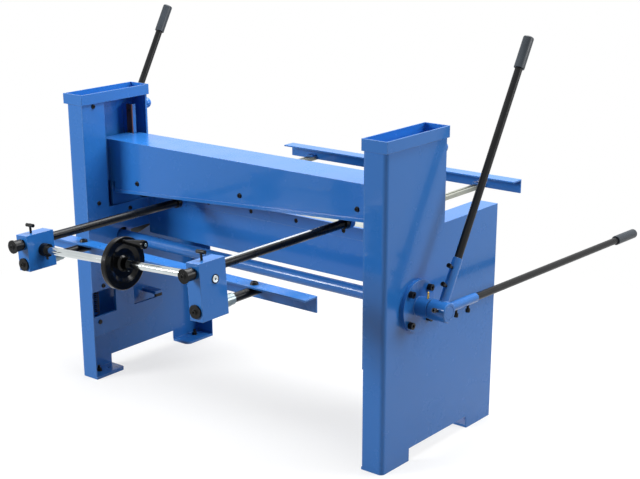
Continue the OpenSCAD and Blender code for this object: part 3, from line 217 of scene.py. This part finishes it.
finishes = {
    "stand_left": blue, "stand_right": blue, "trays": blue, "guard_left": blue, "guard_right": blue,
    "dome_knobs": blue, "bed": blue, "flange_left": blue, "flange_right": blue, "front_stop_bar": blue,
    "beam": blue, "pull_plate_left": blue, "pull_plate_right": blue, "rod_lugs": blue,
    "torque_shaft": blue, "lever_hub_left": blue, "lever_hub_right": blue, "gauge_block_left": blue,
    "gauge_block_right": blue, "back_stop_bar": blue, "front_clamps": blue, "guide_shoes": blue,
    "lower_blade": blue,
    "levelling_screws": fastener, "frame_screws": fastener, "flange_bolts": fastener,
    "spring_posts": fastener, "beam_screws": fastener,
    "spring_bolts": fastener, "lever_screws": fastener, "rod_caps": fastener, "stop_bolts": fastener,
    "shaft_collars": fastener, "clamp_screw_left": fastener, "clamp_screw_right": fastener,
    "guide_rod_left": black, "guide_rod_right": black, "rod_ends": black, "lower_rods": black,
    "upright_rods": lever_black, "long_rods": lever_black, "upright_grips": grip_vinyl,
    "long_grips": grip_vinyl, "handwheel": wheel_plastic, "wheel_handle": wheel_plastic,
    "crank_left": crank_steel, "crank_right": crank_steel, "upper_blade": blade_steel,
    "table_plate": table_steel,
    "stop_arms": arm_steel, "grease_nipples": brass, "guide_strips": guide_bronze,
    "buffers": rubber, "scale_strip": scale_alloy, "rod_nuts": zinc, "cross_shaft": chrome,
    "spring_left": wire, "spring_right": wire,
}
for name, node in nodes.items():
    node.data.materials.clear()
    node.data.materials.append(finishes[name])


# ---------------------------------------------------------------- pieces that the solids leave out

def node_tree(name, inputs):
    """Empty Geometry Nodes tree with a Geometry input, the named inputs and one output."""
    tree = bpy.data.node_groups.new(name, "GeometryNodeTree")
    tree.interface.new_socket("Geometry", in_out="INPUT", socket_type="NodeSocketGeometry")
    for label, kind in inputs:
        tree.interface.new_socket(label, in_out="INPUT", socket_type="NodeSocket" + kind)
    tree.interface.new_socket("Geometry", in_out="OUTPUT", socket_type="NodeSocketGeometry")
    return tree, tree.nodes.new("NodeGroupInput").outputs


def close_tree(tree, instances, material):
    """Real mesh out of the instances, with its material."""
    real = add(tree, "GeometryNodeRealizeInstances", {"Geometry": instances})
    clad = add(tree, "GeometryNodeSetMaterial", {"Geometry": real.outputs["Geometry"]},
               {"Material": material})
    add(tree, "NodeGroupOutput", {"Geometry": clad.outputs["Geometry"]})


def grow(name, guide, tree, values, body):
    """Runs the tree on the guide mesh and keeps the result as one plain mesh that rides with body."""
    seed = bpy.data.objects.new(name + "_guide", guide)
    bpy.context.scene.collection.objects.link(seed)
    modifier = seed.modifiers.new("repeat", "NODES")
    modifier.node_group = tree
    for item in tree.interface.items_tree:
        if item.in_out == "INPUT" and item.name in values:
            modifier[item.identifier] = values[item.name]
    grown = seed.evaluated_get(bpy.context.evaluated_depsgraph_get())
    mesh = bpy.data.meshes.new_from_object(grown)
    seed.modifiers.remove(modifier)
    bpy.data.objects.remove(seed)
    return place_piece(name, mesh, body)


def place_piece(name, mesh, body):
    """Puts the mesh in the scene as a piece that rides with body."""
    piece = bpy.data.objects.new(name, mesh)
    bpy.context.scene.collection.objects.link(piece)
    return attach(piece, body)


def line_mesh(name, paths):
    """Mesh of edges along the paths, each a list of points in metres."""
    mesh = bpy.data.meshes.new(name)
    points, edges = [], []
    for path in paths:
        first = len(points)
        points += path
        edges += [(first + i, first + i + 1) for i in range(len(path) - 1)]
    mesh.from_pydata(points, edges, [])
    return mesh


def weld_tree():
    """Stacked drops of a hand laid weld: flattened balls of uneven size, one on the other."""
    tree, given = node_tree("weld_beads", [
        ("Pitch", "Float"), ("Radius", "Float"), ("Uneven", "Float"), ("Seed", "Int")])
    curve = add(tree, "GeometryNodeMeshToCurve", {"Mesh": given["Geometry"]})
    steps = add(tree, "GeometryNodeResampleCurve",
                {"Curve": curve.outputs["Curve"], "Length": given["Pitch"]}, mode="LENGTH")
    drop = add(tree, "GeometryNodeMeshIcoSphere", {"Radius": given["Radius"]}, {"Subdivisions": 3})
    low = add(tree, "ShaderNodeMath", {1: given["Uneven"]}, {0: 1.0}, operation="SUBTRACT")
    high = add(tree, "ShaderNodeMath", {1: given["Uneven"]}, {0: 1.0}, operation="ADD")
    size = add(tree, "FunctionNodeRandomValue", {"Seed": given["Seed"]}, data_type="FLOAT")
    tree.links.new(low.outputs["Value"], size.inputs[2])
    tree.links.new(high.outputs["Value"], size.inputs[3])
    row = add(tree, "GeometryNodeInstanceOnPoints",
              {"Points": steps.outputs["Curve"], "Instance": drop.outputs["Mesh"],
               "Scale": size.outputs[1]})
    smooth = add(tree, "GeometryNodeSetShadeSmooth", {"Geometry": row.outputs["Instances"]})
    close_tree(tree, smooth.outputs["Geometry"], blue)
    return tree


def scale_tree():
    """Filled graduation lines: one each millimetre, longer at every fifth and longest at every tenth."""
    tree, given = node_tree("scale_lines", [
        ("Start", "Vector"), ("Count", "Int"), ("Pitch", "Float"), ("Line Width", "Float"),
        ("Height", "Float"), ("Short", "Float"), ("Middle", "Float"), ("Long", "Float")])
    step = add(tree, "ShaderNodeCombineXYZ", {"Y": given["Pitch"]})
    places = add(tree, "GeometryNodeMeshLine",
                 {"Count": given["Count"], "Start Location": given["Start"],
                  "Offset": step.outputs["Vector"]})
    number = add(tree, "GeometryNodeInputIndex")
    long = given["Short"]
    for every, length in ((5.0, given["Middle"]), (10.0, given["Long"])):
        left = add(tree, "ShaderNodeMath", {0: number.outputs["Index"]}, {1: every}, operation="MODULO")
        hit = add(tree, "ShaderNodeMath", {0: left.outputs["Value"]}, {1: 0.5}, operation="LESS_THAN")
        pick = add(tree, "GeometryNodeSwitch",
                   {"Switch": hit.outputs["Value"], "False": long, "True": length}, input_type="FLOAT")
        long = pick.outputs["Output"]
    size = add(tree, "ShaderNodeCombineXYZ", {"X": long, "Y": given["Line Width"], "Z": given["Height"]})
    half = add(tree, "ShaderNodeMath", {0: long}, {1: 0.5}, operation="MULTIPLY")
    shift = add(tree, "ShaderNodeCombineXYZ", {"X": half.outputs["Value"]})
    moved = add(tree, "GeometryNodeSetPosition",
                {"Geometry": places.outputs["Mesh"], "Offset": shift.outputs["Vector"]})
    bar = add(tree, "GeometryNodeMeshCube", values={"Size": (1.0, 1.0, 1.0)})
    row = add(tree, "GeometryNodeInstanceOnPoints",
              {"Points": moved.outputs["Geometry"], "Instance": bar.outputs["Mesh"],
               "Scale": size.outputs["Vector"]})
    close_tree(tree, row.outputs["Instances"], ink)
    return tree


def screw_tree(head, material):
    """One screw head at each point of the guide, turned by a different angle in its own plane."""
    tree, given = node_tree("screw_row", [("Turn", "Vector"), ("Seed", "Int")])
    one = add(tree, "GeometryNodeObjectInfo", values={"Object": head})
    spin = add(tree, "FunctionNodeRandomValue", {"Seed": given["Seed"]}, data_type="FLOAT")
    spin.inputs[3].default_value = math.tau
    own = add(tree, "ShaderNodeCombineXYZ", {"Z": spin.outputs[1]})
    row = add(tree, "GeometryNodeInstanceOnPoints",
              {"Points": given["Geometry"], "Instance": one.outputs["Geometry"], "Rotation": given["Turn"]})
    spun = add(tree, "GeometryNodeRotateInstances",
               {"Instances": row.outputs["Instances"], "Rotation": own.outputs["Vector"]})
    close_tree(tree, spun.outputs["Instances"], material)
    return tree


def socket_head(name, radius, rise, socket, depth, material):
    """Head of a screw on its seat at z = 0: softened rim, six sided socket, closed below."""
    steps, soft = 48, 0.12 * radius
    hexagon = [socket / math.cos((math.tau * i / steps + math.pi / 6) % (math.pi / 3) - math.pi / 6)
               for i in range(steps)]
    rings = [([radius] * steps, 0.0), ([radius] * steps, rise - soft),
             ([radius - 0.3 * soft] * steps, rise - 0.3 * soft),
             ([radius - soft] * steps, rise), (hexagon, rise), (hexagon, rise - depth)]
    shape = bmesh.new()
    made = [[shape.verts.new((r * math.cos(math.tau * i / steps), r * math.sin(math.tau * i / steps), z))
             for i, r in enumerate(radii)] for radii, z in rings]
    for below, above in zip(made, made[1:]):
        for i in range(steps):
            shape.faces.new((below[i], below[(i + 1) % steps], above[(i + 1) % steps], above[i]))
    shape.faces.new(list(reversed(made[0])))
    shape.faces.new(made[-1])
    mesh = bpy.data.meshes.new(name)
    shape.to_mesh(mesh)
    shape.free()
    mesh.materials.append(material)
    return mesh


def mm(*values):
    """Millimetres to metres."""
    return tuple(v * MM for v in values)


# sizes of the solids that carry these pieces, in millimetres
# lever shaft, hubs and their sockets, with the levers' angles in degrees
shaft_y, shaft_z = -164.0, 574.0
lever_x, hub_r, socket_r = 868.0, 35.04, 17.01
upright_angle, long_angle = 60.0, -1.5
# outer face of the flanges, and the stands' sides where the foot plates meet them
flange_face_x, barrel_r = 780.0, 34.08
foot_face_x, foot_top_z = 761.0, 10.0
foot_runs = ((-328.0, -192.0), (192.0, 336.0))
# guide rods, their lugs and the beam's raked underside
rod_x, rod_drop, lug_half = 415.0, 38.0, 30.4
beam_low_z, clear_width, rake_fall = 762.0, 1350.0, 85.0
rake = math.atan(rake_fall / clear_width)
# screw row of the guide strips
strip_x, strip_screw_heights = 717.6, range(728, 1080, 84)
# cross shaft, handwheel, its handle and its set screw
cross_y, gear_drop = -812.57, 30.192
wheel_at, rim_half = 21.06, 11.375
handle_r, handle_l, handle_ring = 75.53, 103.74, 2.43
set_screw_at, set_screw_r = 25.0, -22.3


def under_beam(x):
    """Height of the beam's raked underside."""
    return beam_low_z + (x + clear_width / 2) * rake_fall / clear_width


SEAM_STEPS, CIRCLE_STEPS = 48, 60


def ring_round_socket(side, angle):
    """Seam where a lever socket meets its hub."""
    path = []
    for i in range(SEAM_STEPS + 1):
        t = math.tau * i / SEAM_STEPS
        along = math.sqrt(hub_r ** 2 - (socket_r * math.sin(t)) ** 2)
        across = socket_r * math.sin(t)
        path.append(mm(side * (lever_x + socket_r * math.cos(t)),
                       shaft_y + along * math.cos(angle) - across * math.sin(angle),
                       shaft_z + along * math.sin(angle) + across * math.cos(angle)))
    return path


def circle(x, radius):
    """Closed path round the lever shaft, square to it at x."""
    turns = [math.tau * i / CIRCLE_STEPS for i in range(CIRCLE_STEPS + 1)]
    return [mm(x, shaft_y + radius * math.cos(t), shaft_z + radius * math.sin(t)) for t in turns]


welds = weld_tree()
lever_seams = [ring_round_socket(side, math.radians(angle))
               for side in (-1, 1) for angle in (upright_angle, long_angle)]
grow("weld_beads_levers", line_mesh("lever_seams", lever_seams), welds,
     {"Pitch": 1.7 * MM, "Radius": 1.9 * MM, "Uneven": 0.14, "Seed": 3}, "lever_shaft")
frame_seams = [circle(side * flange_face_x, barrel_r) for side in (-1, 1)]
frame_seams += [[mm(side * foot_face_x, y0, foot_top_z), mm(side * foot_face_x, y1, foot_top_z)]
                for side in (-1, 1) for y0, y1 in foot_runs]
grow("weld_beads_frame", line_mesh("frame_seams", frame_seams), welds,
     {"Pitch": 1.8 * MM, "Radius": 2.0 * MM, "Uneven": 0.14, "Seed": 5}, "frame")
lug_low, lug_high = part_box("rod_lugs")
beam_seams = []
for side in (-1, 1):
    for edge in (-lug_half, lug_half):
        x = side * rod_x + edge
        under = under_beam(x)
        beam_seams.append([(x * MM, lug_low.y, under * MM), (x * MM, lug_high.y, under * MM)])
grow("weld_beads_beam", line_mesh("beam_seams", beam_seams), welds,
     {"Pitch": 1.8 * MM, "Radius": 2.0 * MM, "Uneven": 0.14, "Seed": 7}, "blade_beam")

strip_low, strip_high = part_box("scale_strip")
edge_gap, end_gap = 0.8 * MM, 2 * MM
count = int((strip_high.y - strip_low.y - 2 * end_gap) / MM)
grow("scale_lines", line_mesh("scale_start", []), scale_tree(), {
    "Start": (strip_low.x + edge_gap, strip_low.y + end_gap, strip_high.z),
    "Count": count, "Pitch": 1.0 * MM, "Line Width": 0.3 * MM, "Height": 0.06 * MM,
    "Short": 3.0 * MM, "Middle": 4.6 * MM, "Long": 6.8 * MM}, "blade_beam")

shoe_gap = 0.3 * MM
strip_face_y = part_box("guide_shoes")[1].y + shoe_gap
screw_points = [(side * strip_x * MM, strip_face_y, z * MM)
                for side in (-1, 1) for z in strip_screw_heights]
rows = bpy.data.meshes.new("strip_screw_places")
rows.from_pydata(screw_points, [], [])
head = bpy.data.objects.new("strip_screw_head", socket_head(
    "strip_screw_head", radius=5.2 * MM, rise=0.25 * MM, socket=2.3 * MM, depth=0.18 * MM, material=fastener))
grow("strip_screws", rows, screw_tree(head, fastener), {"Turn": (math.pi / 2, 0.0, 0.0), "Seed": 11},
     "frame")
bpy.data.objects.remove(head)


def on_shaft(axial, radial, turn, mesh):
    """Moves a mesh into the frame of the raked cross shaft: z of the mesh points along the shaft,
    or square to it and downwards where turn is set."""
    centre = Vector(mm(gear_drop * math.sin(rake), cross_y,
                       under_beam(0) - rod_drop - gear_drop * math.cos(rake)))
    slope = Matrix.Rotation(-rake, 4, "Y")
    quarter = math.pi if turn else math.pi / 2
    local = Matrix.Translation(mm(axial, 0, radial)) @ Matrix.Rotation(quarter, 4, "Y")
    mesh.transform(Matrix.Translation(centre) @ slope @ local)
    return mesh


wheel_x = wheel_at / math.cos(rake)
seat_sink = 0.2
end_screw = socket_head("handle_end_screw", radius=5.4 * MM, rise=1.9 * MM, socket=2.6 * MM,
                        depth=1.5 * MM, material=zinc)
end_screw_at = wheel_x + rim_half + handle_l + handle_ring - seat_sink
place_piece("handle_end_screw", on_shaft(end_screw_at, handle_r, False, end_screw), "gauge_drive")
set_screw = socket_head("hub_set_screw", radius=4.0 * MM, rise=2.2 * MM, socket=2.0 * MM,
                        depth=1.6 * MM, material=zinc)
place_piece("hub_set_screw", on_shaft(wheel_x + set_screw_at, set_screw_r, True, set_screw), "gauge_drive")


# ---------------------------------------------------------------- springs copied from the solids


def return_spring(side):
    """The wound spring of one side, copied from its solid into world space while the solid is hidden; on the
    machine its upper eye stays on the stand's post and its lower eye goes down with the pull plate's bolt,
    but this copy neither moves nor stretches."""
    node = nodes["spring_" + side]
    mesh = node.data.copy()
    mesh.transform(node.matrix_world)
    spring = bpy.data.objects.new("return_spring_" + side, mesh)
    bpy.context.scene.collection.objects.link(spring)
    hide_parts("spring_" + side)
    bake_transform(spring)


return_spring("left")
return_spring("right")


# ---------------------------------------------------------------- stage, light and camera

def shown(tree):
    """1 for rays that show the studio, seen straight, in metal or through glass, and 0 for light."""
    path = add(tree, "ShaderNodeLightPath")
    seen = add(tree, "ShaderNodeMath", {0: path.outputs["Is Camera Ray"], 1: path.outputs["Is Glossy Ray"]},
               operation="ADD", use_clamp=True)
    seen = add(tree, "ShaderNodeMath", {0: seen.outputs["Value"], 1: path.outputs["Is Transmission Ray"]},
               operation="ADD", use_clamp=True)
    return seen.outputs["Value"]


def stage_material():
    """Matt white sweep: it shows white to the camera and to reflections, and keeps a soft shadow."""
    material, tree, shader, place = new_material("studio_floor",
                                                 {"Roughness": 0.9, "Specular IOR Level": 0.2})
    fleck = add(tree, "ShaderNodeTexNoise", {"Vector": place}, {"Scale": 3.0, "Detail": 2.0})
    white = tone(tree, fleck.outputs["Fac"], "#F2F3F4", "#F8F8F8")
    seen = shown(tree)
    # light that the floor throws back on the machine is kept low, as from a grey studio floor
    tree.links.new(tone(tree, seen, "#8C8D8E", white), shader.inputs["Base Color"])
    away = add(tree, "ShaderNodeVectorMath", {0: place}, operation="LENGTH")
    clean = add(tree, "ShaderNodeMapRange", {"Value": away.outputs["Value"]},
                {"From Min": 0.9, "From Max": 2.2, "To Min": 0.7, "To Max": 1.0})
    share = add(tree, "ShaderNodeMath", {0: seen, 1: clean.outputs["Result"]}, operation="MULTIPLY")
    glow = add(tree, "ShaderNodeEmission", values={"Color": (1, 1, 1, 1), "Strength": 1.0})
    mix = add(tree, "ShaderNodeMixShader",
              {0: share.outputs["Value"], 1: shader.outputs["BSDF"], 2: glow.outputs["Emission"]})
    output = next(n for n in tree.nodes if n.type == "OUTPUT_MATERIAL")
    tree.links.new(mix.outputs["Shader"], output.inputs["Surface"])
    return material


bpy.ops.mesh.primitive_plane_add(size=40, location=(0, 0, 0))
floor = bpy.context.object
floor.name = "floor"
floor.data.materials.append(stage_material())

world = bpy.data.worlds.new("studio")
bpy.context.scene.world = world
world.use_nodes = True
sky = world.node_tree
sky.nodes.clear()
level = add(sky, "ShaderNodeMapRange", {"Value": shown(sky)}, {"To Min": 0.13, "To Max": 1.0})
sky_light = add(sky, "ShaderNodeBackground", {"Strength": level.outputs["Result"]}, {"Color": (1, 1, 1, 1)})
add(sky, "ShaderNodeOutputWorld", {"Surface": sky_light.outputs["Background"]})


def softbox(name, place, target, size, power):
    """Rectangular area lamp that faces its target; place and size in metres, power in watts."""
    lamp = bpy.data.lights.new(name, "AREA")
    lamp.shape = "RECTANGLE"
    lamp.size, lamp.size_y = size
    lamp.energy = power
    box = bpy.data.objects.new(name, lamp)
    bpy.context.scene.collection.objects.link(box)
    box.location = place
    box.rotation_euler = (Vector(target) - Vector(place)).to_track_quat("-Z", "Y").to_euler()
    return box


waist = (0, 0, 0.7)
softbox("overhead_softbox", (0.2, 0.9, 4.2), waist, size=(3.6, 3.0), power=325)
softbox("gauge_side_softbox", (-2.8, -4.6, 2.6), waist, size=(1.8, 1.8), power=275)
softbox("lever_side_softbox", (4.6, 2.4, 2.8), waist, size=(2.0, 2.0), power=165)

# camera fitted to the photograph: focal length and shifts in pixels of a picture 640 wide
picture_px, focal_px, shift_x_px, shift_y_px = 640, 1334.4, 19.4, 72.4
sensor_mm = 36.0
eye = (3.2108, -3.7340, 2.0127)
camera_data = bpy.data.cameras.new("photo_camera")
camera = bpy.data.objects.new("photo_camera", camera_data)
bpy.context.scene.collection.objects.link(camera)
azimuth, elevation, roll = math.radians(39.61), math.radians(18.72), math.radians(-0.347)
forward = Vector((-math.sin(azimuth) * math.cos(elevation), math.cos(azimuth) * math.cos(elevation),
                  -math.sin(elevation)))
right = Vector((math.cos(azimuth), math.sin(azimuth), 0.0))
up = right.cross(forward)
right, up = math.cos(roll) * right + math.sin(roll) * up, -math.sin(roll) * right + math.cos(roll) * up
axes = Matrix((right, up, -forward)).transposed().to_4x4()
camera.matrix_world = Matrix.Translation(eye) @ axes
camera_data.sensor_width = sensor_mm
camera_data.lens = focal_px * sensor_mm / picture_px
camera_data.shift_x = shift_x_px / picture_px
camera_data.shift_y = shift_y_px / picture_px
bpy.context.scene.camera = camera
bpy.context.scene.view_settings.view_transform = "Standard"
